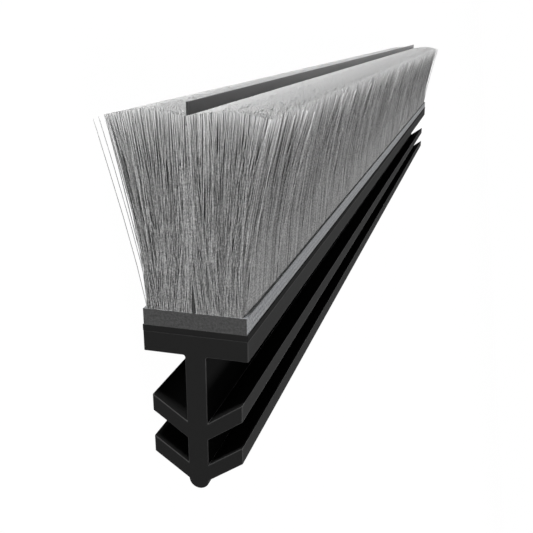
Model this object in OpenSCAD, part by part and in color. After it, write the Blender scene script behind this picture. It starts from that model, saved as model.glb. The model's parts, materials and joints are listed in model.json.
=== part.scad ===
// Brush seal strip for a sawn groove: a barbed carrier with a bonding layer, a backing strip,
// two banks of pile and a thin fin between them.
// Every section is drawn upright: x is across the strip, y is up, and y = 0 is the top of the
// backing strip, where the pile is rooted. The strip is then laid on its left side, as it lies
// by itself on a level floor: on the edge of its left pile and on its last left barb.

/* [Strip] */
// Length of the strip
strip_l = 140; // [20:1:1000]

/* [Carrier] */
// Width of the head
head_w = 7; // [5:0.1:9]
// Thickness of the head
head_t = 1.4; // [0.8:0.1:3]
// Thickness of the stem
stem_t = 1.4; // [1:0.1:2]
// Depth from the underside of the head to the end of the bead
stem_depth = 9.65; // [8.5:0.05:14]
// Radius of the fillet where the stem leaves the head
fillet_r = 0.15; // [0.05:0.05:0.5]
// Number of pairs of barbs
barb_pairs = 2; // [1:1:2]
// Width across a pair of barbs
barb_w = 6.15; // [4.5:0.05:7]
// Thickness of a barb, square to its faces
barb_t = 0.97; // [0.6:0.01:1.2]
// Slope of a barb, in degrees above the level
barb_angle = 35; // [15:1:45]
// Distance from one pair of barbs to the next
barb_pitch = 3.05; // [2.5:0.05:3.6]

/* [Bonding layer] */
// Thickness of the layer that holds the backing strip to the head
bond_t = 0.4; // [0.2:0.05:1]

/* [Backing strip] */
// Thickness of the backing strip
backing_t = 1.1; // [0.6:0.05:2]
// Margin of the head left bare on each side of the backing strip
backing_inset = 0.075; // [0.025:0.025:0.6]

/* [Fin] */
// Thickness of the fin
fin_t = 0.14; // [0.06:0.02:0.4]
// Height of the fin above the backing strip
fin_h = 12.85; // [12.5:0.05:20]

/* [Pile] */
// Clearance between the fin and the pile on each side of it
fin_clearance = 0.1; // [0.05:0.01:0.3]
// Margin of the backing strip left bare on each side of the pile
pile_inset = 0.275; // [0.1:0.025:0.8]
// Height of the pile beside the fin
pile_inner_h = 12.1; // [9:0.05:12.4]
// Height of the pile at its outer edge
pile_outer_h = 11.75; // [9:0.05:12.4]
// How far the outer edge of the pile leans out from its root
pile_flare = 2.8; // [0.5:0.1:4]
// Rise of the trimmed top above a straight line from its inner edge to its outer edge
pile_crown = 0.42; // [0.1:0.02:0.8]

/* [Hidden] */
$fn = 96;

// Heights of the faces that the pieces share
backing_bottom = -backing_t;
bond_bottom = backing_bottom - bond_t;
head_bottom = bond_bottom - head_t;

// The bead is as thick as the stem, and the last pair of barbs leaves the stem at its centre
bead_r = stem_t / 2;
bead_y = head_bottom - stem_depth + bead_r;
barb_depth = barb_t / cos(barb_angle);
barb_tip_y = bead_y + barb_rise(barb_w / 2);

// The pile stands between the fin and the edge of the backing strip
pile_inner = fin_t / 2 + fin_clearance;
pile_root = head_w / 2 - backing_inset - pile_inset;
pile_outer = pile_root + pile_flare;

// The outer side is an arc that starts square to the backing strip
side_r = (pow(pile_flare, 2) + pow(pile_outer_h, 2)) / (2 * pile_flare);

// The trimmed top is an arc through both upper edges of the bank
crown_chord = [pile_outer - pile_inner, pile_outer_h - pile_inner_h];
crown_r = (pow(norm(crown_chord) / 2, 2) + pow(pile_crown, 2)) / (2 * pile_crown);
crown_middle = [pile_inner + pile_outer, pile_inner_h + pile_outer_h] / 2;
crown_down = [crown_chord.y, -crown_chord.x] / norm(crown_chord);
crown_centre = crown_middle + (crown_r - pile_crown) * crown_down;

// The lying strip touches the floor with the pile's outer edge and the last left barb
rest_tilt = atan2(pile_outer - barb_w / 2, pile_outer_h - barb_tip_y);
rest_lift = pile_outer * cos(rest_tilt) - pile_outer_h * sin(rest_tilt);
tip_reach = fin_h * cos(rest_tilt) + fin_t / 2 * sin(rest_tilt);
bead_reach = bead_r - bead_y * cos(rest_tilt);

// Height that a barb gains between the face of the stem and a distance from the centre line
function barb_rise(across) = (across - stem_t / 2) * tan(barb_angle);

// Extrudes an upright section along the strip and lays it on its left side, with the origin
// on the floor below the middle of the strip
module laid_strip() {
    translate([-strip_l / 2, (bead_reach - tip_reach) / 2, rest_lift])
        rotate([rest_tilt - 90, 0, 0])
            rotate([90, 0, 90])
                linear_extrude(strip_l)
                    children();
}

// A section that is drawn for the left side and repeated on the right
module both_sides() {
    children();
    mirror([1, 0]) children();
}

// A level layer that is centred on the strip and hangs from a height
module layer_section(width, top, thickness) {
    translate([-width / 2, top - thickness])
        square([width, thickness]);
}

// A barb that leaves the stem at a height and slopes up towards the head
module barb_section(root) {
    across = barb_w / 2;
    polygon([
        [0, root + barb_rise(0)],
        [across, root + barb_rise(across)],
        [across, root + barb_rise(across) + barb_depth],
        [0, root + barb_rise(0) + barb_depth],
    ]);
}

// The fillet in the corner between the head and the stem
module fillet_section() {
    translate([stem_t / 2, head_bottom - fillet_r])
        difference() {
            square(fillet_r);
            translate([fillet_r, 0])
                circle(r = fillet_r);
        }
}

// The extruded carrier: head, stem, barbs and bead in one piece
module carrier() {
    color("#262626")
        laid_strip() {
            layer_section(head_w, bond_bottom, head_t);
            layer_section(stem_t, head_bottom, head_bottom - bead_y);
            translate([0, bead_y])
                circle(r = bead_r);
            both_sides() {
                fillet_section();
                for (pair = [0 : barb_pairs - 1])
                    barb_section(bead_y + pair * barb_pitch);
            }
        }
}

// The thin layer that bonds the backing strip to the head
module bonding_layer() {
    color("#202020")
        laid_strip()
            layer_section(head_w, backing_bottom, bond_t);
}

// The woven strip that the pile is rooted in
module backing() {
    color("#707274")
        laid_strip()
            layer_section(head_w - 2 * backing_inset, 0, backing_t);
}

// The thin sheet that stands in the middle of the pile
module fin() {
    color("#454545")
        laid_strip()
            layer_section(fin_t, fin_h, fin_h);
}

// One bank of pile, from the fin to its leaning outer side, below its trimmed and crowned top
module pile_section() {
    difference() {
        intersection() {
            translate([pile_inner, 0])
                square([pile_outer, fin_h]);
            translate(crown_centre)
                circle(r = crown_r);
        }
        translate([pile_root + side_r, 0])
            circle(r = side_r);
    }
}

// The bank of pile on the left, which the strip lies on
module left_pile() {
    color("#a2a2a2")
        laid_strip()
            pile_section();
}

// The bank of pile on the right
module right_pile() {
    color("#a8a8a8")
        laid_strip()
            mirror([1, 0])
                pile_section();
}

carrier();
bonding_layer();
backing();
fin();
left_pile();
right_pile();
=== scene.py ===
"""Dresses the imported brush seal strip: bevelled carrier, woven backing, fin film and real bristles.

Every piece is placed in the strip's upright section, whose axes come from the groove mount of the
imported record, and is then carried to where the strip lies on the floor.
"""

import json
import logging
import math
from dataclasses import dataclass, field
from enum import Enum, IntEnum

import bpy
import numpy as np
from mathutils import Matrix, Vector


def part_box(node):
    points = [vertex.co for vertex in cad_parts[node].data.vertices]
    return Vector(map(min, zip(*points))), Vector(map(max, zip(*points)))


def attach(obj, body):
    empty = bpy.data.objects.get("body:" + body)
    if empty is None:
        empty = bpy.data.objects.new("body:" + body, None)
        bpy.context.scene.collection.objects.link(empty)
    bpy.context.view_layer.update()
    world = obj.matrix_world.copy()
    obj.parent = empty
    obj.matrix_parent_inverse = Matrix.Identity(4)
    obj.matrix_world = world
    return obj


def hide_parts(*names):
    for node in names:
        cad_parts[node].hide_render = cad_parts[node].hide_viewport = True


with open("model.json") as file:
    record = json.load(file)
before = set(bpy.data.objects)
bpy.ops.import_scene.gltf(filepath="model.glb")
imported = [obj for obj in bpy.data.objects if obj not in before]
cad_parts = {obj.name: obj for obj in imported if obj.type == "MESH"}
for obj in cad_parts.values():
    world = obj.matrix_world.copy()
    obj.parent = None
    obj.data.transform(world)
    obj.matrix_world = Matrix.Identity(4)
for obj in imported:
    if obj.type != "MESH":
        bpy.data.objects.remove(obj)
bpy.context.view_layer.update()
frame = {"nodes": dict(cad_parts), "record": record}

LOG = logging.getLogger("brush_seal")
MM = 0.001
ROOT_BODY = "root"
SHADE_MAP = "BristleShade"
BAKE_MAP = "OFBake"
WHITE = (1.0, 1.0, 1.0, 1.0)

# Distance from the middle of the strip beyond which a face is one of its two cut ends
CUT_PLACE = 69.97 * MM

Colour = tuple[float, float, float]
Paths = list[tuple[np.ndarray, "RodLook"]]


def neutral(level: float) -> Colour:
    """Grey of a level."""
    return (level, level, level)


class Side(Enum):
    """Side of the fin, with the sign of its distances across the strip."""

    LEFT = 1
    RIGHT = -1

    @property
    def word(self) -> str:
        """Plain word for the side, used in names."""
        return self.name.lower()


@dataclass(frozen=True)
class LyingSection:
    """The strip's upright section, as it lies in the row frame.

    Distances are in metres: along the strip from its near end, across it to the left, and up from
    the top of the backing, where the bristles are rooted.

    Attributes:
        base: Middle of the backing's top face at the near end.
        along: Direction from the near end to the far end.
        left: Direction across the strip to the left.
        up: Direction from the backing to the bristles' tips.
        length: Length of the strip.
    """

    base: Vector
    along: Vector
    left: Vector
    up: Vector
    length: float

    @classmethod
    def from_frame(
        cls, mount_name: str = "groove_stem", mount_depth: float = 2.9 * MM
    ) -> "LyingSection":
        """Reads the section's place from the mount at the stem's root.

        Args:
            mount_name: Mount whose axis points into the groove.
            mount_depth: Depth of that mount below the top of the backing.

        Returns:
            The section as it lies.
        """
        mount = next(m for m in frame["record"]["mounts"] if m["name"] == mount_name)
        up = -Vector(mount["axis"]).normalized()
        along = Vector((1.0, 0.0, 0.0))
        low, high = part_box("backing")
        near = Vector(mount["pos_m"]) + up * mount_depth
        near.x = low.x
        return cls(near, along, along.cross(up) * -1.0, up, high.x - low.x)

    @property
    def axes(self) -> Matrix:
        """Matrix that turns section directions to row directions."""
        return Matrix((self.along, self.left, self.up)).transposed()

    @property
    def transform(self) -> Matrix:
        """Matrix that carries section places to row places."""
        return Matrix.Translation(self.base) @ self.axes.to_4x4()

    def carry(self, places: np.ndarray) -> np.ndarray:
        """Carries an array of section places, in metres, to the row frame."""
        return places @ np.array(self.axes).T + np.array(self.base)

    def floor_reach(self, up: np.ndarray) -> np.ndarray:
        """How far left of the fin's middle the floor is, at heights above the backing."""
        return (self.base.z + up * self.up.z) / -self.left.z


class Wire:
    """One socket's value in a shader, with arithmetic that adds Math nodes."""

    def __init__(self, desk: "NodeDesk", socket: bpy.types.NodeSocket) -> None:
        """Wraps an output socket of a desk's tree."""
        self.desk = desk
        self.socket = socket

    def _math(self, operation: str, first: "Wire | float", second: "Wire | float") -> "Wire":
        """Result of a Math node on two values."""
        return self.desk.add("ShaderNodeMath", {"operation": operation}, {0: first, 1: second})

    def __add__(self, other: "Wire | float") -> "Wire":
        """Sum."""
        return self._math("ADD", self, other)

    __radd__ = __add__

    def __mul__(self, other: "Wire | float") -> "Wire":
        """Product."""
        return self._math("MULTIPLY", self, other)

    __rmul__ = __mul__

    def __sub__(self, other: "Wire | float") -> "Wire":
        """Difference."""
        return self._math("SUBTRACT", self, other)

    def __rsub__(self, other: float) -> "Wire":
        """Difference from a number."""
        return self._math("SUBTRACT", other, self)

    def __pow__(self, other: float) -> "Wire":
        """Power."""
        return self._math("POWER", self, other)

    def larger(self, other: "Wire | float") -> "Wire":
        """The larger of two values."""
        return self._math("MAXIMUM", self, other)

    def sibling(self, output: str) -> "Wire":
        """Another output of the same node."""
        return Wire(self.desk, self.socket.node.outputs[output])


class NodeDesk:
    """Adds nodes to the tree of a material or a world."""

    def __init__(self, owner: bpy.types.ID) -> None:
        """Empties the owner's node tree and starts on it.

        Args:
            owner: A material or a world.
        """
        owner.use_nodes = True
        self.tree = owner.node_tree
        self.tree.nodes.clear()

    def add(
        self,
        kind: str,
        settings: dict[str, object] | None = None,
        sockets: dict[str | int, object] | None = None,
        output: str | int = 0,
    ) -> Wire:
        """Adds one node.

        Args:
            kind: The node's type.
            settings: Properties of the node, which are set first.
            sockets: Values or wires for its input sockets, by name or number.
            output: The output socket to return.

        Returns:
            The wire of that output.
        """
        node = self.tree.nodes.new(kind)
        for name, value in (settings or {}).items():
            setattr(node, name, value)
        for name, value in (sockets or {}).items():
            if isinstance(value, Wire):
                self.tree.links.new(value.socket, node.inputs[name])
            else:
                node.inputs[name].default_value = value
        return Wire(self, node.outputs[output] if node.outputs else None)

    def mix_colours(self, share: Wire, first: "Wire | tuple", second: "Wire | tuple") -> Wire:
        """Mix of two colours, by the share of the second."""
        ends = [end if isinstance(end, Wire) else (*end, 1.0) for end in (first, second)]
        return self.add("ShaderNodeMix", {"data_type": "RGBA"}, {0: share, 6: ends[0], 7: ends[1]}, 2)

    def noise(self, place: Wire, scale: float, detail: float, roughness: float) -> Wire:
        """Fractal noise around a half, with a scale in features to the metre."""
        sockets = {"Vector": place, "Scale": scale, "Detail": detail, "Roughness": roughness}
        return self.add("ShaderNodeTexNoise", sockets=sockets)

    def bump(self, height: Wire, strength: float, distance: float) -> Wire:
        """Normal of a relief, whose height from 0 to 1 stands for a distance in metres."""
        sockets = {"Height": height, "Strength": strength, "Distance": distance}
        return self.add("ShaderNodeBump", sockets=sockets)

    def cut_end_shade(self, place: Wire) -> Wire:
        """Finds the cut ends of the strip, which the finishes paint darker as a painted shade.

        Args:
            place: Object coordinates, whose X runs along the strip from its middle.

        Returns:
            One at the ends and nought between them.
        """
        along = self.add("ShaderNodeSeparateXYZ", sockets={"Vector": place})
        from_middle = self.add("ShaderNodeMath", {"operation": "ABSOLUTE"}, {0: along})
        return self.add("ShaderNodeMath", {"operation": "GREATER_THAN"}, {0: from_middle, 1: CUT_PLACE})

    def seen(self) -> Wire:
        """One for rays that show the white background: the camera's, and those off gloss or glass."""
        ray = self.add("ShaderNodeLightPath", output="Is Camera Ray")
        return ray.larger(ray.sibling("Is Glossy Ray")).larger(ray.sibling("Is Transmission Ray"))

    def finish(self, shader: Wire, kind: str = "ShaderNodeOutputMaterial") -> None:
        """Links a shader to the tree's output, whose node is of a kind."""
        self.add(kind, sockets={"Surface": shader})

    def principled(self, sockets: dict[str, object]) -> None:
        """Finishes a material with one Principled shader, from values or wires by socket."""
        self.finish(self.add("ShaderNodeBsdfPrincipled", sockets=sockets))


class Finish:
    """A material whose colours and sizes are the fields of a frozen dataclass."""

    name: str

    def paint(self, desk: NodeDesk) -> None:
        """Adds the nodes of the finish to a desk."""
        raise NotImplementedError

    def material(self) -> bpy.types.Material:
        """Builds the material.

        Returns:
            The material.
        """
        made = bpy.data.materials.new(self.name)
        self.paint(NodeDesk(made))
        return made


@dataclass(frozen=True)
class ExtrudedPlastic(Finish):
    """Near-black flexible plastic with faint lines from the extrusion die.

    Attributes:
        name: Name of the material.
        dark: Colour in the darker streaks.
        light: Colour in the lighter streaks.
        cut_end_shade: Colour of the two sawn ends, a painted shade: the ends are painted darker than the
            faces because less light falls on them.
        roughness: Mean roughness.
        roughness_range: Range of the roughness.
        shine: Specular level.
        die_lines: Die lines in each metre across the section.
        line_draw: Scale of the lines' pattern along the strip, where less draws them out.
        line_share: Share of the lines in the colour, beside the cloudy bloom.
        bloom: Patches of bloom in each metre.
        bloom_relief: Relief of the bloom, as a share of that of the lines.
        relief: Strength of the relief, and its height in metres.
    """

    name: str = "black_extruded_plastic"
    dark: Colour = neutral(0.041)
    light: Colour = neutral(0.053)
    cut_end_shade: Colour = neutral(0.0168)
    roughness: float = 0.62
    roughness_range: float = 0.16
    shine: float = 0.001
    die_lines: float = 2600.0
    line_draw: float = 0.02
    line_share: float = 0.45
    bloom: float = 260.0
    bloom_relief: float = 0.4
    relief: tuple[float, float] = (0.10, 0.03 * MM)

    def paint(self, desk: NodeDesk) -> None:
        """Adds the nodes of the finish.

        Args:
            desk: Desk of the material.
        """
        place = desk.add("ShaderNodeTexCoord", output="Object")
        scale = (self.line_draw, 1.0, 1.0)
        drawn = desk.add("ShaderNodeMapping", sockets={"Vector": place, "Scale": scale})
        lines = desk.noise(drawn, self.die_lines, 3.0, 0.6)
        bloom = desk.noise(place, self.bloom, 4.0, 0.55)
        streaks = lines * self.line_share + bloom * (1.0 - self.line_share)
        face = desk.mix_colours(streaks, self.dark, self.light)
        desk.principled(
            {
                # Painted shade: the cut ends take a darker colour.
                "Base Color": desk.mix_colours(desk.cut_end_shade(place), face, self.cut_end_shade),
                "Roughness": bloom * self.roughness_range + (self.roughness - self.roughness_range / 2),
                "Specular IOR Level": self.shine,
                "Normal": desk.bump(lines + bloom * self.bloom_relief, *self.relief),
            }
        )


@dataclass(frozen=True)
class WovenTape(Finish):
    """Mid-grey woven synthetic tape, fibrous and matt.

    Attributes:
        name: Name of the material.
        thread_shade: Colour down between the threads, a painted shade.
        thread_crown: Colour on the crowns of the threads.
        cut_end_shade: Colour of the two cut ends, a painted shade: they are painted darker because less
            light falls on them.
        cut_shade: How far the shade between the fibres of a cut end goes down.
        thread_pitch: Distance from one thread to the next, in metres.
        thread_wander: How far a thread wanders.
        weave_share: Relief of the threads, as a share of that of the fibres.
        fibre: Fibres in each metre.
        darkest: Relief at and below which the colour is that between the threads.
        contrast: How fast the colour changes with the relief.
        roughness: Least roughness.
        roughness_range: Range of the roughness.
        sheen: Specular level and sheen of the fibres.
        relief: Strength of the relief, and its height in metres.
    """

    name: str = "grey_woven_tape"
    thread_shade: Colour = (0.13, 0.135, 0.145)
    thread_crown: Colour = (0.53, 0.54, 0.555)
    cut_end_shade: Colour = neutral(0.046)
    cut_shade: float = 0.2
    thread_pitch: float = 0.34 * MM
    thread_wander: float = 1.2
    weave_share: float = 0.2
    fibre: float = 6500.0
    darkest: float = 0.38
    contrast: float = 2.4
    roughness: float = 0.75
    roughness_range: float = 0.2
    sheen: float = 0.2
    relief: tuple[float, float] = (0.6, 0.05 * MM)

    def paint(self, desk: NodeDesk) -> None:
        """Adds the nodes of the finish.

        Args:
            desk: Desk of the material.
        """
        place = desk.add("ShaderNodeTexCoord", output="Object")
        scale = 1.0 / self.thread_pitch / math.tau * 2.0
        sockets = {"Vector": place, "Scale": scale, "Distortion": self.thread_wander, "Detail": 2.0}
        warp, weft = (desk.add("ShaderNodeTexWave", {"bands_direction": axis}, sockets) for axis in "XY")
        fluff = desk.noise(place, self.fibre, 4.0, 0.75)
        relief = warp * weft * self.weave_share + fluff
        # Painted shade: the colour follows the relief, darker down between the threads.
        tone = (relief - self.darkest) * self.contrast
        face = desk.mix_colours(tone, self.thread_shade, self.thread_crown)
        # Painted shade on the cut ends, broken up by the fibres.
        cut_tone = {0: self.cut_end_shade, "Scale": fluff * self.contrast - self.cut_shade}
        shaded_cut_face = desk.add("ShaderNodeVectorMath", {"operation": "SCALE"}, cut_tone)
        desk.principled(
            {
                "Base Color": desk.mix_colours(desk.cut_end_shade(place), face, shaded_cut_face),
                "Roughness": fluff * self.roughness_range + self.roughness,
                "Specular IOR Level": self.sheen,
                "Sheen Weight": self.sheen,
                "Normal": desk.bump(relief, *self.relief),
            }
        )


@dataclass(frozen=True)
class FinFilm(Finish):
    """Dark grey polypropylene film with a dull gloss.

    Attributes:
        name: Name of the material.
        dark: Darker tone of the film.
        light: Lighter tone of the film.
        haze: Specks of haze in each metre.
        roughness: Mean roughness.
        roughness_range: Range of the roughness.
        shine: Specular level.
        relief: Strength of the relief, and its height in metres.
    """

    name: str = "dark_fin_film"
    dark: Colour = neutral(0.021)
    light: Colour = neutral(0.033)
    haze: float = 4000.0
    roughness: float = 0.31
    roughness_range: float = 0.08
    shine: float = 0.25
    relief: tuple[float, float] = (0.08, 0.02 * MM)

    def paint(self, desk: NodeDesk) -> None:
        """Adds the nodes of the finish.

        Args:
            desk: Desk of the material.
        """
        place = desk.add("ShaderNodeTexCoord", output="Object")
        haze = desk.noise(place, self.haze, 4.0, 0.7)
        desk.principled(
            {
                "Base Color": desk.mix_colours(haze, self.dark, self.light),
                "Roughness": haze * self.roughness_range + (self.roughness - self.roughness_range / 2),
                "Specular IOR Level": self.shine,
                "Normal": desk.bump(haze, *self.relief),
            }
        )


@dataclass(frozen=True)
class BristleFibre(Finish):
    """Pale grey synthetic bristle, each one of its own shade, painted lighter towards its tip as painted
    light.

    Attributes:
        name: Name of the material.
        dark: Colour of the darkest bristles.
        light: Colour of the lightest bristles.
        tip: Colour towards the cut tips, a painted light: the top of the pile gets the most light.
        body_share: Share of the shades' range that the bodies of the bristles use.
        tip_start: Power of the height by which a bristle is painted lighter towards its tip, as painted
            light.
        speckle_share: Share by which the colour varies along a bristle.
        speckle: Specks in each metre.
        speckle_middle: Value of the specks that leaves the shade as it is.
        roughness: Least roughness.
        roughness_range: Range of the roughness.
        shine: Specular level.
    """

    name: str = "grey_bristle_fibre"
    dark: Colour = neutral(0.12)
    light: Colour = neutral(0.72)
    tip: Colour = neutral(0.72)
    body_share: float = 0.50
    tip_start: float = 10.0
    speckle_share: float = 0.85
    speckle: float = 8000.0
    speckle_middle: float = 0.47
    roughness: float = 0.45
    roughness_range: float = 0.15
    shine: float = 0.35

    def paint(self, desk: NodeDesk) -> None:
        """Adds the nodes of the finish.

        Args:
            desk: Desk of the material.
        """
        spot = desk.add("ShaderNodeUVMap", {"uv_map": SHADE_MAP})
        shade = desk.add("ShaderNodeSeparateXYZ", sockets={"Vector": spot})
        height = shade.sibling("Y")
        place = desk.add("ShaderNodeTexCoord", output="Object")
        specks = desk.noise(place, self.speckle, 3.0, 0.7)
        varied = shade * self.body_share + (specks - self.speckle_middle) * (self.speckle_share * 2.0)
        body = desk.mix_colours(varied, self.dark, self.light)
        desk.principled(
            {
                # Painted light: the bristles turn lighter towards their tips, where the top of the pile
                # is lit.
                "Base Color": desk.mix_colours(height**self.tip_start, body, self.tip),
                "Roughness": shade * self.roughness_range + self.roughness,
                "Specular IOR Level": self.shine,
            }
        )


@dataclass(frozen=True)
class PaleFloor(Finish):
    """Floor that the camera sees as white, with the strip's shadow kept.

    Attributes:
        name: Name of the material.
        tone: Colour of the floor under the lamps.
        glow: Share of plain white that the camera sees.
        glow_level: Level of that white, a little over 1 so that only the shadow falls below white.
    """

    name: str = "pale_floor"
    tone: Colour = neutral(0.10)
    glow: float = 0.88
    glow_level: float = 1.13

    def paint(self, desk: NodeDesk) -> None:
        """Adds the nodes of the finish.

        Args:
            desk: Desk of the material.
        """
        seen = desk.seen() * self.glow
        matt = desk.add("ShaderNodeBsdfDiffuse", sockets={"Color": (*self.tone, 1.0)})
        white = desk.add("ShaderNodeEmission", sockets={"Strength": self.glow_level})
        desk.finish(desk.add("ShaderNodeMixShader", sockets={0: seen, 1: matt, 2: white}))


def select_only(piece: bpy.types.Object) -> None:
    """Deselects everything, then selects one piece and makes it active.

    Args:
        piece: The piece to work on.
    """
    bpy.ops.object.select_all(action="DESELECT")
    piece.select_set(True)
    bpy.context.view_layer.objects.active = piece


def dress(piece: bpy.types.Object, material: bpy.types.Material) -> None:
    """Puts one material on a whole piece.

    Args:
        piece: The piece.
        material: Its material.
    """
    if piece.material_slots:
        for slot in piece.material_slots:
            slot.material = material
    else:
        piece.data.materials.append(material)


class CarrierFace(IntEnum):
    """Kinds of face on the extrusion, in the order of its materials."""

    PLAIN = 0
    EDGE = 1
    GROOVE = 2


@dataclass
class Carrier:
    """The black extrusion and the bonding layer on its head.

    Attributes:
        section: The section as it lies.
        node: CAD node of the extrusion.
        layer_node: CAD node of the bonding layer.
        groove_reach: Distance from the middle, across, within which a face is inside a groove.
        cut_cosine: How squarely a face looks along the strip, from which it is a cut end.
        weld: Distance within which corners are merged.
        flat_angle: Greatest angle between faces that are joined to one.
        edge_round: Width of the rounding on its edges, in metres.
        round_steps: Steps of the rounding.
        sharp_angle: Least angle of an edge that is rounded.
        finish: Material of the extrusion's faces.
        edge_highlight_finish: Material of its rounded edges, painted paler as a painted highlight where
            the edges catch the light.
        groove_shade_finish: Material of the faces between head, stem and barbs, painted darker as a
            painted shade where the head and barbs shade them.
        layer_finish: Material of the bonding layer.
    """

    section: LyingSection
    node: str = "carrier"
    layer_node: str = "bonding_layer"
    groove_reach: float = 3.0 * MM
    cut_cosine: float = 0.5
    weld: float = 0.001 * MM
    flat_angle: float = math.radians(0.5)
    edge_round: float = 0.05 * MM
    round_steps: int = 2
    sharp_angle: float = math.radians(30.0)
    finish: Finish = ExtrudedPlastic()
    # Painted highlight: the rounded edges are painted paler than the faces.
    edge_highlight_finish: Finish = ExtrudedPlastic(
        "highlighted_plastic_edge",
        dark=neutral(0.042),
        light=neutral(0.056),
        cut_end_shade=neutral(0.026),
        roughness=0.55,
        shine=0.08,
    )
    # Painted shade: the faces inside the grooves are painted darker, where the head and barbs shade
    # them.
    groove_shade_finish: Finish = ExtrudedPlastic(
        "shaded_groove_plastic",
        dark=neutral(0.009),
        light=neutral(0.012),
        roughness=0.7,
    )
    layer_finish: Finish = ExtrudedPlastic(
        "black_bonding_layer",
        dark=neutral(0.023),
        light=neutral(0.031),
        cut_end_shade=neutral(0.0155),
        roughness=0.8,
    )

    def rounded_copy(self) -> bpy.types.Object:
        """Copies the extrusion and rounds its edges, which take a paler material as a painted highlight
        and show as thin pale lines.

        Returns:
            The rounded piece, which stands for the CAD node.
        """
        piece = bpy.data.objects.new("carrier_extrusion", frame["nodes"][self.node].data.copy())
        bpy.context.scene.collection.objects.link(piece)
        piece.data.materials.clear()
        for finish in (self.finish, self.edge_highlight_finish, self.groove_shade_finish):
            piece.data.materials.append(finish.material())
        select_only(piece)
        bpy.ops.object.mode_set(mode="EDIT")
        bpy.ops.mesh.select_all(action="SELECT")
        bpy.ops.mesh.remove_doubles(threshold=self.weld)
        bpy.ops.mesh.dissolve_limited(angle_limit=self.flat_angle)
        bpy.ops.object.mode_set(mode="OBJECT")
        self.shade_grooves(piece.data)
        rounding = piece.modifiers.new("edge_rounding", "BEVEL")
        rounding.width = self.edge_round
        rounding.segments = self.round_steps
        rounding.limit_method = "ANGLE"
        rounding.angle_limit = self.sharp_angle
        rounding.harden_normals = True
        # The rounded edges take the paler material, a painted highlight.
        rounding.material = CarrierFace.EDGE
        bpy.ops.object.shade_smooth_by_angle(angle=self.sharp_angle)
        bpy.ops.object.modifier_apply(modifier=rounding.name)
        return piece

    def shade_grooves(self, mesh: bpy.types.Mesh) -> None:
        """Gives the faces inside the grooves their own darker material, a painted shade.

        Args:
            mesh: Mesh of the extrusion, before its edges are rounded.
        """
        for face in mesh.polygons:
            across = abs((face.center - self.section.base).dot(self.section.left))
            is_cut = abs(face.normal.dot(self.section.along)) >= self.cut_cosine
            if across < self.groove_reach and not is_cut:
                # These faces take the darker material, a painted shade.
                face.material_index = CarrierFace.GROOVE

    def build(self) -> None:
        """Makes, dresses and mounts the pieces."""
        piece = self.rounded_copy()
        dress(frame["nodes"][self.layer_node], self.layer_finish.material())
        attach(piece, ROOT_BODY)
        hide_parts(self.node)
        LOG.info("%s: %d faces", piece.name, len(piece.data.polygons))


@dataclass
class DressedNode:
    """A CAD node whose shape is right, so that it only gets a finish.

    Attributes:
        node: Name of the CAD node.
        finish: Its material.
    """

    node: str
    finish: Finish

    def build(self) -> None:
        """Dresses the CAD node."""
        dress(frame["nodes"][self.node], self.finish.material())
        LOG.info("%s dressed", self.node)


@dataclass
class BackingStrip(DressedNode):
    """The woven strip that holds the roots of the bristles."""

    node: str = "backing"
    finish: Finish = WovenTape()


@dataclass
class CentreFin(DressedNode):
    """The thin sheet between the two banks of bristles."""

    node: str = "fin"
    finish: Finish = FinFilm()


@dataclass(frozen=True)
class RodLook:
    """Thickness and shades of the rods that stand for bristles.

    Attributes:
        root_radius: Radius at the root, in millimetres, or nought where a hidden root is a point.
        tip_radius: Radius at the cut tip.
        contrast: Spread of the shades from one rod to the next.
        tone: Usual shade, from 0 for dark to 1 for light; lower on the pile's outer side as a painted
            shade.
    """

    root_radius: float = 0.034
    tip_radius: float = 0.038
    contrast: float = 0.24
    tone: float = 0.5


@dataclass(frozen=True)
class RootPatch:
    """A patch of the backing with evenly spread bristle roots.

    Attributes:
        start: Start of the patch along the strip, in millimetres.
        stop: End of the patch along the strip.
        inner: Distance of its inner side from the fin's middle.
        outer: Distance of its outer side from the fin's middle.
        density: Bristles in each square millimetre.
        steps: Straight lengths that make up a bristle's bend.
        strays: Share of the outer bristles that bend out alone.
        look: Look of its rods.
        looseness: How loosely the bristles stand, where 1 is usual and 0 is all in line.
        shake: Share of a root's cell on the grid that it is shaken over.
    """

    start: float
    stop: float
    inner: float
    outer: float
    density: float
    steps: int
    strays: float = 0.01
    look: RodLook = RodLook()
    looseness: float = 1.0
    shake: float = 1.0

    def roots(self, rng: np.random.Generator) -> np.ndarray:
        """Spreads roots over the patch on a shaken grid.

        Args:
            rng: Source of random numbers.

        Returns:
            Rows of distance along and distance from the fin's middle.
        """
        pitch = 1.0 / math.sqrt(self.density)
        rows = max(1, round((self.stop - self.start) / pitch))
        lines = max(1, round((self.outer - self.inner) / pitch))
        along, away = np.meshgrid(np.arange(rows), np.arange(lines), indexing="ij")
        shaken = np.stack([along.ravel(), away.ravel()], 1) + 0.5
        shaken += rng.uniform(-0.5, 0.5, (rows * lines, 2)) * self.shake
        span = np.array([self.stop - self.start, self.outer - self.inner])
        return np.array([self.start, self.inner]) + shaken / np.array([rows, lines]) * span


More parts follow.
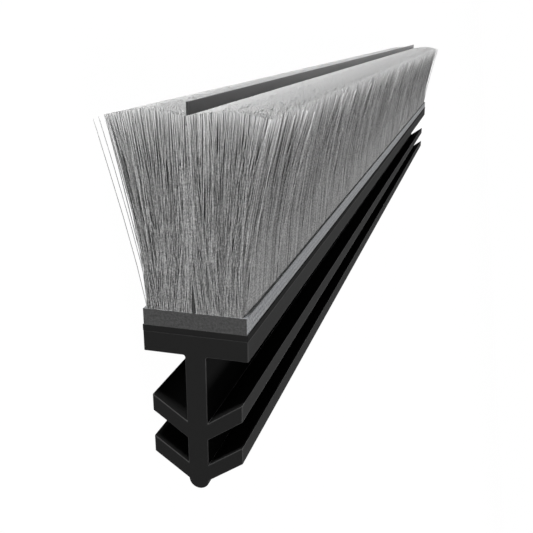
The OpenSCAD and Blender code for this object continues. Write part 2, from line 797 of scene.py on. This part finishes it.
@dataclass
class PileBank:
    """One bank of bristles, beside the fin.

    All sizes are in millimetres, in the upright section.

    Attributes:
        side: Side of the fin that the bank is on.
        section: The section as it lies.
        inner: Distance of the innermost roots from the fin's middle.
        root: Distance of the outermost roots from the fin's middle.
        outer: Distance of the outermost tips from the fin's middle.
        inner_height: Height of the tips beside the fin.
        outer_height: Height of the outermost tips.
        crown: Rise of the trimmed top above a straight line between those.
        fin_face: Distance of the fin's face from its middle.
        radius: Radius of a bristle.
        bend: Power of the height by which a bristle splays.
        stray_bend: Power of the height by which a stray splays.
        splay: Usual splay of the bristles, as a share of the furthest.
        splay_spread: Spread of their splay from one to the next.
        splay_limits: Least and greatest splay.
        stray_zone: Share of the way out beyond which a bristle may be a stray.
        stray_splay: Least and greatest splay of a stray.
        tuck: Share by which they splay less at both ends of the strip.
        margin: How far inside the outermost tips the usual ones end, and how much more at both ends.
        tuck_length: Length of strip over which the tuck fades.
        foot: How much further out the outermost roots stand between the ends.
        foot_bend: Power of the distance from the fin by which the foot grows.
        fan: Power of the distance from the fin by which the splay grows.
        lean: Usual lean of a bristle's tip along the strip and across it.
        crossing_lean: Usual lean of the bristles that cross their neighbours.
        crossing_share: Share of such bristles.
        veil_count: Bristles that lean across each end of the fin.
        veil_lean: Least and greatest lean of such a bristle across the fin.
        veil_spread: Share of its lean at which the first of them is rooted.
        veil_depth: How far they lie in front of each other.
        veil_gap: Clear distance of the veil from the fin's end, in radii of a bristle.
        veil_steps: Straight lengths of such a bristle.
        overhang: How far a tip may stand out past a cut end.
        trim: Usual distance of a tip below the trimmed top.
        sink: Depth of a root in the backing.
        seed: Seed of the bank's random numbers.
        rng: Source of those numbers, which are drawn in one fixed order.
    """

    side: Side
    section: LyingSection
    inner: float = 0.17
    root: float = 3.15
    outer: float = 5.95
    inner_height: float = 12.1
    outer_height: float = 11.75
    crown: float = 0.42
    fin_face: float = 0.07
    radius: float = 0.036
    bend: float = 1.75
    stray_bend: float = 1.2
    splay: float = 0.64
    splay_spread: float = 0.1
    splay_limits: tuple[float, float] = (0.3, 1.0)
    stray_zone: float = 0.75
    stray_splay: tuple[float, float] = (0.8, 1.0)
    tuck: float = 0.18
    margin: tuple[float, float] = (0.15, 0.95)
    tuck_length: float = 1.6
    foot: float = 0.13
    foot_bend: int = 8
    fan: float = 1.6
    lean: tuple[float, float] = (0.42, 0.18)
    crossing_lean: tuple[float, float] = (1.0, 1.1)
    crossing_share: float = 0.3
    veil_count: int = 20
    veil_lean: tuple[float, float] = (0.45, 1.9)
    veil_spread: float = 0.18
    veil_depth: float = 0.12
    veil_gap: float = 1.2
    veil_steps: int = 4
    overhang: float = 0.35
    trim: float = 0.028
    sink: float = 0.05
    seed: int = 11
    rng: np.random.Generator = field(init=False)

    def __post_init__(self) -> None:
        """Starts the bank's random numbers."""
        self.rng = np.random.default_rng(self.seed + self.side.value)

    def patches(self) -> list[RootPatch]:
        """Lays out the patches: dense where the bank is seen close, with fewer steps inside it.

        Returns:
            The patches, in the order in which they are filled.
        """
        end = self.section.length / MM
        rim = 0.03
        deep = 1.0
        skin = self.root - 0.24
        core = self.root - 1.1
        thin = RodLook(0.023, 0.023)
        fine = RodLook(0.025, 0.039, 0.40, 0.52)
        middling = RodLook(0.030, 0.048, 0.34, 0.52)
        # Painted shade: the rods of the outer side get a darker tone than those at the front.
        shaded_skin = RodLook(0.037, 0.048, 0.22, 0.40)
        hidden = RodLook(0.0, 0.060, 0.12)
        return [
            RootPatch(rim, 0.45, self.root - 0.2, self.root, 25.0, 4, 1.0, thin, 0.5),
            RootPatch(rim, 0.4, self.inner, self.root, 440.0, 4, 0.0, fine, 1.6),
            RootPatch(0.4, deep, self.inner, self.root, 300.0, 4, 0.03, middling, 0.7),
            RootPatch(deep, end - deep, skin, self.root, 170.0, 3, 0.005, shaded_skin, 0.2, 0.5),
            RootPatch(deep, end - deep, core, skin, 200.0, 1, 0.0, hidden, 0.3),
            RootPatch(deep, end - deep, self.inner, core, 200.0, 1, 0.0, hidden),
            RootPatch(end - deep, end - rim, self.inner, self.root, 130.0, 3, 0.0),
            RootPatch(end - 0.45, end - rim, self.root - 0.25, self.root, 60.0, 4, 1.0, thin, 0.3),
        ]

    def trimmed_height(self, away: np.ndarray) -> np.ndarray:
        """Height of the trimmed top.

        Args:
            away: Distances from the fin's middle.

        Returns:
            The heights there.
        """
        share = ((away - self.inner) / (self.outer - self.inner)).clip(0.0, 1.0)
        straight = self.inner_height + share * (self.outer_height - self.inner_height)
        return straight + 4.0 * self.crown * share * (1.0 - share)

    def leans(self, count: int, looseness: float) -> np.ndarray:
        """Leans along and away at the tips: most bristles are nearly upright, and some cross others."""
        crosses = self.rng.random((count, 1)) < self.crossing_share * looseness
        return self.rng.normal(0.0, np.where(crosses, self.crossing_lean, self.lean)) * looseness

    def paths(self, patch: RootPatch) -> np.ndarray:
        """Bends the bristles of one patch.

        Args:
            patch: The patch of roots.

        Returns:
            Array of bristles, steps and section places in millimetres.
        """
        rng = self.rng
        roots = patch.roots(rng)
        count = len(roots)
        spread = (roots[:, 1] - self.inner) / (self.root - self.inner)
        stray = (rng.random(count) < patch.strays) & (spread > self.stray_zone)
        from_end = np.minimum(roots[:, 0], self.section.length / MM - roots[:, 0])
        fading = np.exp(-from_end / self.tuck_length)
        roots[:, 1] += self.foot * (1.0 - fading) * spread**self.foot_bend
        usual = rng.normal(self.splay - self.tuck * fading, self.splay_spread * patch.looseness)
        share = np.where(stray, rng.uniform(*self.stray_splay, count), usual)
        splay = (self.outer - self.root) * spread**self.fan * share.clip(*self.splay_limits)
        bend = np.where(stray, self.stray_bend, self.bend)
        lean = self.leans(count, patch.looseness)
        furthest = self.outer - np.where(stray, 0.0, self.margin[0] + self.margin[1] * fading)
        tip_away = np.clip(roots[:, 1] + splay + lean[:, 1], self.fin_face + self.radius, furthest)
        lean[:, 1] = tip_away - roots[:, 1] - splay
        return self.bent(roots, splay, lean, bend, patch.steps)

    def bent(
        self, roots: np.ndarray, splay: np.ndarray, lean: np.ndarray, bend: np.ndarray, steps: int
    ) -> np.ndarray:
        """Places every step of bristles that splay in a bend and lean in a straight line.

        Args:
            roots: Rows of distance along and away.
            splay: Distance that each tip is splayed away from the fin.
            lean: Rows of lean along and away at the tips.
            bend: Power of the height by which each of them splays.
            steps: Straight lengths in each bristle.

        Returns:
            Array of bristles, steps and section places in millimetres.
        """
        trimmed = np.abs(self.rng.normal(0.0, self.trim, len(roots)))
        tip = self.trimmed_height(roots[:, 1] + splay + lean[:, 1]) - trimmed
        share = np.linspace(0.0, 1.0, steps + 1)[None, :]
        up = share * (tip[:, None] + self.sink) - self.sink
        rise = up.clip(0.0) / tip[:, None]
        along = roots[:, :1] + lean[:, :1] * rise
        away = roots[:, 1:] + splay[:, None] * rise ** bend[:, None] + lean[:, 1:] * rise
        overhang = self.rng.uniform(0.0, self.overhang, (len(roots), 1)) * rise
        along = np.clip(along, -overhang, self.section.length / MM + overhang)
        if self.side is Side.LEFT:
            away = np.minimum(away, self.section.floor_reach(up * MM) / MM - self.radius)
        return np.stack([along, away * self.side.value, up], 2)

    def veil(self, end: float, outward: float) -> np.ndarray:
        """Bristles at one end of the bank that lean across the cut edge of the fin and hide it.

        Args:
            end: Distance of the end along the strip.
            outward: Direction out of that end, as 1 or -1.

        Returns:
            Array of bristles, steps and section places in millimetres.
        """
        across = self.rng.uniform(*self.veil_lean, self.veil_count)
        away = np.maximum(self.inner, across * np.linspace(self.veil_spread, 1.0, self.veil_count))
        roots = np.stack([np.full(self.veil_count, end - outward * self.radius), away], 1)
        lean = np.stack([np.zeros(self.veil_count), -across], 1)
        upright = np.zeros(self.veil_count)
        paths = self.bent(roots, upright, lean, upright + 1.0, self.veil_steps)
        depth = self.rng.uniform(0.0, self.veil_depth, (self.veil_count, 1))
        paths[:, 1:, 0] = end + outward * (self.radius * self.veil_gap + depth)
        return paths


@dataclass(frozen=True)
class RodBatch:
    """The rods that were made of one array of bristle paths.

    Attributes:
        places: Corners, in section millimetres.
        flanks: Corner numbers of the side faces.
        ends: Corner numbers of the end faces.
        flank_map: Map place of each corner of the side faces.
        end_map: Map place of each corner of the end faces.
        rims: 1 at the corners of a root's end face, 2 at those of a tip's and 0 elsewhere.
    """

    places: np.ndarray
    flanks: np.ndarray
    ends: np.ndarray
    flank_map: np.ndarray
    end_map: np.ndarray
    rims: np.ndarray


@dataclass(frozen=True)
class RodMaker:
    """Makes joined meshes of thin three-sided rods from bristle paths.

    The material reads one UV map, and the rods get a second with the same layout.

    Attributes:
        rng: Source of random numbers.
        sides: Sides of a rod.
        map_width: Width that a rod takes in the map.
        map_room: Share of the map that the shades take, and where they start.
        map_dip: How far one corner of an end face is moved in the map, to give the face an area.
        turn: Greatest turn of a rod about its length, either way.
    """

    rng: np.random.Generator
    sides: int = 3
    map_width: float = 0.006
    map_room: tuple[float, float] = (0.95, 0.01)
    map_dip: float = 0.004
    turn: float = 0.5

    def corners(self, paths: np.ndarray, look: RodLook) -> np.ndarray:
        """Places a ring of corners at each step of each bristle.

        Args:
            paths: Array of bristles, steps and section places.
            look: Look of the rods.

        Returns:
            Rows of section places.
        """
        turn = math.pi + self.rng.uniform(-self.turn, self.turn, (len(paths), 1))
        angle = turn + np.arange(self.sides)[None, :] * math.tau / self.sides
        ring = np.stack([np.cos(angle), np.sin(angle), np.zeros_like(angle)], 2)
        radius = np.linspace(look.root_radius, look.tip_radius, paths.shape[1])
        return (paths[:, :, None, :] + ring[:, None] * radius[None, :, None, None]).reshape(-1, 3)

    def shades(self, count: int, look: RodLook) -> np.ndarray:
        """Draws the shades of some rods, in a column that leaves room for their faces and corners."""
        shade = self.rng.normal(look.tone, look.contrast, count).clip(0.0, 1.0)[:, None, None]
        return shade * self.map_room[0] + self.map_room[1]

    def end_spots(self, shade: np.ndarray, height: np.ndarray) -> np.ndarray:
        """Lays end faces out in the map.

        Args:
            shade: Shade of each rod.
            height: Height of each corner of its end faces, as a share of its length.

        Returns:
            Map place of each corner.
        """
        fan = np.linspace(0.0, self.map_width, self.sides)
        dip = np.where(np.arange(self.sides) == 1, self.map_dip, 0.0)
        return np.stack([shade + fan[None, None] + 0.0 * height, np.abs(height - dip)], -1)

    def spikes(self, paths: np.ndarray, look: RodLook) -> RodBatch:
        """Makes straight rods whose hidden roots are points.

        Args:
            paths: Array of bristles, steps and section places.
            look: Look of the rods.

        Returns:
            The rods.
        """
        count = len(paths)
        tips = self.corners(paths[:, -1:], RodLook(look.tip_radius, look.tip_radius))
        places = np.concatenate([paths[:, :1], tips.reshape(count, self.sides, 3)], 1).reshape(-1, 3)
        side = np.arange(self.sides)
        flank = np.stack([0 * side, (side + 1) % self.sides + 1, side + 1], 1)
        first = (np.arange(count) * (self.sides + 1))[:, None, None]
        flanks, ends = flank[None] + first, side[None, None] + 1 + first
        shade = self.shades(count, look)
        across = (side[:, None] + np.array([0.5, 1.0, 0.0])) * self.map_width / self.sides
        rise = np.array([0.0, 1.0, 1.0])
        flank_map = np.stack([shade + across[None], rise + 0.0 * flanks], -1)
        rims = np.tile(np.minimum(np.arange(self.sides + 1), 1) * 2, count)
        return RodBatch(
            places,
            flanks.reshape(-1, 3),
            ends.reshape(-1, self.sides),
            flank_map.reshape(-1, 2),
            self.end_spots(shade, np.ones(ends.shape)).reshape(-1, 2),
            rims,
        )

    def batch(self, paths: np.ndarray, look: RodLook) -> RodBatch:
        """Makes the rods of one array of paths.

        Args:
            paths: Array of bristles, steps and section places.
            look: Look of the rods.

        Returns:
            The rods.
        """
        count, knots = paths.shape[:2]
        places = self.corners(paths, look)
        number = np.arange((knots - 1) * self.sides)
        side, below = number % self.sides, number // self.sides * self.sides
        after = (side + 1) % self.sides
        quad = np.stack([side, after, after + self.sides, side + self.sides], 1) + below[:, None]
        end = np.arange(self.sides) + np.array([[0], [(knots - 1) * self.sides]])
        end[0] = end[0, ::-1]
        first = (np.arange(count) * knots * self.sides)[:, None, None]
        flanks, ends = quad[None] + first, end[None] + first
        shade = self.shades(count, look)
        height = np.tile(np.repeat(np.linspace(0.0, 1.0, knots), self.sides), count)
        across = (side[:, None] + np.array([0, 1, 1, 0])) * self.map_width / self.sides
        flank_map = np.stack([shade + across[None], height[flanks]], -1)
        rims = np.zeros((count, knots, self.sides), int)
        rims[:, 0] = 1
        rims[:, -1] = 2
        return RodBatch(
            places,
            flanks.reshape(-1, 4),
            ends.reshape(-1, self.sides),
            flank_map.reshape(-1, 2),
            self.end_spots(shade, height[ends]).reshape(-1, 2),
            rims.ravel(),
        )

    def join(self, name: str, batches: list[RodBatch], section: LyingSection) -> bpy.types.Object:
        """Joins batches of rods to one piece in the row frame.

        Args:
            name: Name of the piece.
            batches: The rods.
            section: The section as it lies.

        Returns:
            The piece, without a material.
        """
        first = np.cumsum([0] + [len(batch.places) for batch in batches[:-1]])
        places = np.concatenate([batch.places for batch in batches])
        flanks, ends = [], []
        for batch, start in zip(batches, first):
            flanks += (batch.flanks + start).tolist()
            ends += (batch.ends + start).tolist()
        maps = [batch.flank_map for batch in batches] + [batch.end_map for batch in batches]
        mesh = bpy.data.meshes.new(name)
        mesh.from_pydata(section.carry(places * MM), [], flanks + ends)
        mesh.polygons.foreach_set("use_smooth", np.arange(len(flanks) + len(ends)) < len(flanks))
        self.crease_ends(mesh, np.concatenate([batch.rims for batch in batches]))
        for name_of_map in (SHADE_MAP, BAKE_MAP):
            layer = mesh.uv_layers.new(name=name_of_map)
            layer.data.foreach_set("uv", np.concatenate(maps).ravel())
        mesh.update()
        piece = bpy.data.objects.new(name, mesh)
        bpy.context.scene.collection.objects.link(piece)
        return piece

    @staticmethod
    def crease_ends(mesh: bpy.types.Mesh, rims: np.ndarray) -> None:
        """Marks the rims of the end faces sharp, so that the rods look round and their ends flat.

        Args:
            mesh: The joined mesh.
            rims: 1 at the corners of a root's end face, 2 at those of a tip's and 0 elsewhere.
        """
        edges = np.empty(len(mesh.edges) * 2, np.int32)
        mesh.edges.foreach_get("vertices", edges)
        one, other = edges[::2], edges[1::2]
        sharp = mesh.attributes.new("sharp_edge", "BOOLEAN", "EDGE")
        sharp.data.foreach_set("value", (rims[one] == rims[other]) & (rims[one] > 0))


@dataclass
class Pile:
    """Both banks of bristles, each made as a few joined meshes along the strip.

    Attributes:
        section: The section as it lies.
        lengths: Meshes that each bank is made of.
        finish: Material of the bristles.
    """

    section: LyingSection
    lengths: int = 3
    finish: Finish = BristleFibre()

    def build(self) -> None:
        """Makes, dresses and mounts every mesh of both banks."""
        material = self.finish.material()
        for side in Side:
            bank = PileBank(side, self.section)
            paths = [(bank.paths(patch), patch.look) for patch in bank.patches()]
            for end, outward in ((0.0, -1.0), (self.section.length / MM, 1.0)):
                paths.append((bank.veil(end, outward), RodLook(bank.radius, bank.radius)))
            for part in range(self.lengths):
                self.build_length(bank, part, paths, material)

    def build_length(
        self, bank: PileBank, part: int, paths: Paths, material: bpy.types.Material
    ) -> None:
        """Makes one mesh of a bank.

        Args:
            bank: The bank.
            part: Number of the length, from the near end.
            paths: Bristle paths of the whole bank and their look, patch by patch.
            material: Material of the bristles.
        """
        rods = RodMaker(bank.rng)
        share = self.section.length / MM / self.lengths
        batches = []
        count = 0
        for group, look in paths:
            rooted = np.clip(group[:, 0, 0] // share, 0, self.lengths - 1)
            chosen = group[rooted == part]
            count += len(chosen)
            if len(chosen):
                make = rods.batch if look.root_radius else rods.spikes
                batches.append(make(chosen, look))
        piece = rods.join(f"{bank.side.word}_bristles_{part + 1}", batches, self.section)
        dress(piece, material)
        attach(piece, ROOT_BODY)
        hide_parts(f"{bank.side.word}_pile")
        LOG.info("%s: %d bristles, %d faces", piece.name, count, len(piece.data.polygons))


@dataclass(frozen=True)
class Lamp:
    """A large soft lamp, aimed at the middle of the strip.

    Attributes:
        name: Name of the lamp.
        bearing: Direction to the lamp in degrees from +Y towards +X.
        elevation: Direction to the lamp in degrees above the floor.
        distance: Distance to the lamp.
        size: Width and height of the lamp.
        level: Level that it gives a white surface that faces it, where 1 renders white.
    """

    name: str
    bearing: float
    elevation: float
    distance: float
    size: float
    level: float

    def build(self) -> None:
        """Makes the lamp."""
        around, above = math.radians(self.bearing), math.radians(self.elevation)
        level_out = math.cos(above)
        toward = Vector((math.sin(around) * level_out, math.cos(around) * level_out, math.sin(above)))
        light = bpy.data.lights.new(self.name, "AREA")
        light.size = self.size
        light.energy = self.level * (math.pi * self.distance) ** 2
        lamp = bpy.data.objects.new(self.name, light)
        lamp.location = toward * self.distance
        lamp.rotation_euler = (-toward).to_track_quat("-Z", "Y").to_euler()
        bpy.context.scene.collection.objects.link(lamp)


@dataclass(frozen=True)
class Studio:
    """White floor, white surroundings and soft lamps.

    Attributes:
        floor_size: Width of the floor.
        ambience: Level of the light from all round.
        floor: Material of the floor.
        lamps: The lamps.
    """

    floor_size: float = 6.0
    ambience: float = 0.05
    floor: Finish = PaleFloor()
    lamps: tuple[Lamp, ...] = (
        Lamp("key_lamp_beyond_tips", -12.0, 6.5, 0.8, 0.22, 1.95),
        Lamp("side_lamp_above", 180.0, 60.0, 1.0, 0.4, 0.69),
        Lamp("fill_lamp_at_near_end", -90.0, 2.0, 0.9, 0.12, 0.82),
    )

    def build_floor(self) -> None:
        """Makes the floor, which isn't part of the object."""
        bpy.ops.object.select_all(action="DESELECT")
        bpy.ops.mesh.primitive_plane_add(size=self.floor_size)
        floor = bpy.context.object
        floor.name = "floor"
        dress(floor, self.floor.material())

    def build_surroundings(self) -> None:
        """Makes the world white to the camera and softly lit for the strip."""
        world = bpy.data.worlds.new("pale_surroundings")
        bpy.context.scene.world = world
        desk = NodeDesk(world)
        seen = desk.seen()
        soft = desk.add("ShaderNodeBackground", sockets={"Color": WHITE, "Strength": self.ambience})
        white = desk.add("ShaderNodeBackground", sockets={"Color": WHITE, "Strength": 1.0})
        mixed = desk.add("ShaderNodeMixShader", sockets={0: seen, 1: soft, 2: white})
        desk.finish(mixed, "ShaderNodeOutputWorld")

    def build(self) -> None:
        """Makes the whole studio."""
        self.build_floor()
        self.build_surroundings()
        for lamp in self.lamps:
            lamp.build()
        bpy.context.scene.view_settings.view_transform = "Standard"


@dataclass(frozen=True)
class PhotoCamera:
    """The photo's camera, as worked out from the straight edges of the strip.

    Attributes:
        section: The section as it lies.
        place: Its place in the section, in millimetres along, left and up.
        yaw: Turn from straight along the strip towards the left, in degrees.
        pitch: Rise of its view above level, in degrees.
        lens: Focal length in millimetres.
        sensor: Width of the sensor in millimetres.
        clip: Nearest and furthest distance that it sees, in metres.
    """

    section: LyingSection
    place: tuple[float, float, float] = (-39.76, -15.96, 16.90)
    yaw: float = 15.85
    pitch: float = -17.99
    lens: float = 50.0
    sensor: float = 36.0
    clip: tuple[float, float] = (0.001, 20.0)

    def build(self) -> None:
        """Makes the camera and looks through it."""
        yaw, pitch = math.radians(self.yaw), math.radians(self.pitch)
        level_out = math.cos(pitch)
        forward = Vector((math.cos(yaw) * level_out, math.sin(yaw) * level_out, math.sin(pitch)))
        right = Vector((math.sin(yaw), -math.cos(yaw), 0.0))
        turned = Matrix((right, right.cross(forward), -forward)).transposed().to_4x4()
        place = Matrix.Translation(Vector(self.place) * MM)
        data = bpy.data.cameras.new("photo_camera")
        data.lens = self.lens
        data.sensor_width = self.sensor
        data.clip_start, data.clip_end = self.clip
        camera = bpy.data.objects.new("photo_camera", data)
        camera.matrix_world = self.section.transform @ place @ turned
        bpy.context.scene.collection.objects.link(camera)
        bpy.context.scene.camera = camera


def main() -> None:
    """Builds the strip's pieces in order and reports each of them."""
    logging.basicConfig(level=logging.INFO, format="%(name)s: %(message)s")
    section = LyingSection.from_frame()
    Carrier(section).build()
    BackingStrip().build()
    CentreFin().build()
    Pile(section).build()
    Studio().build()
    PhotoCamera(section).build()


if __name__ == "__main__":
    main()
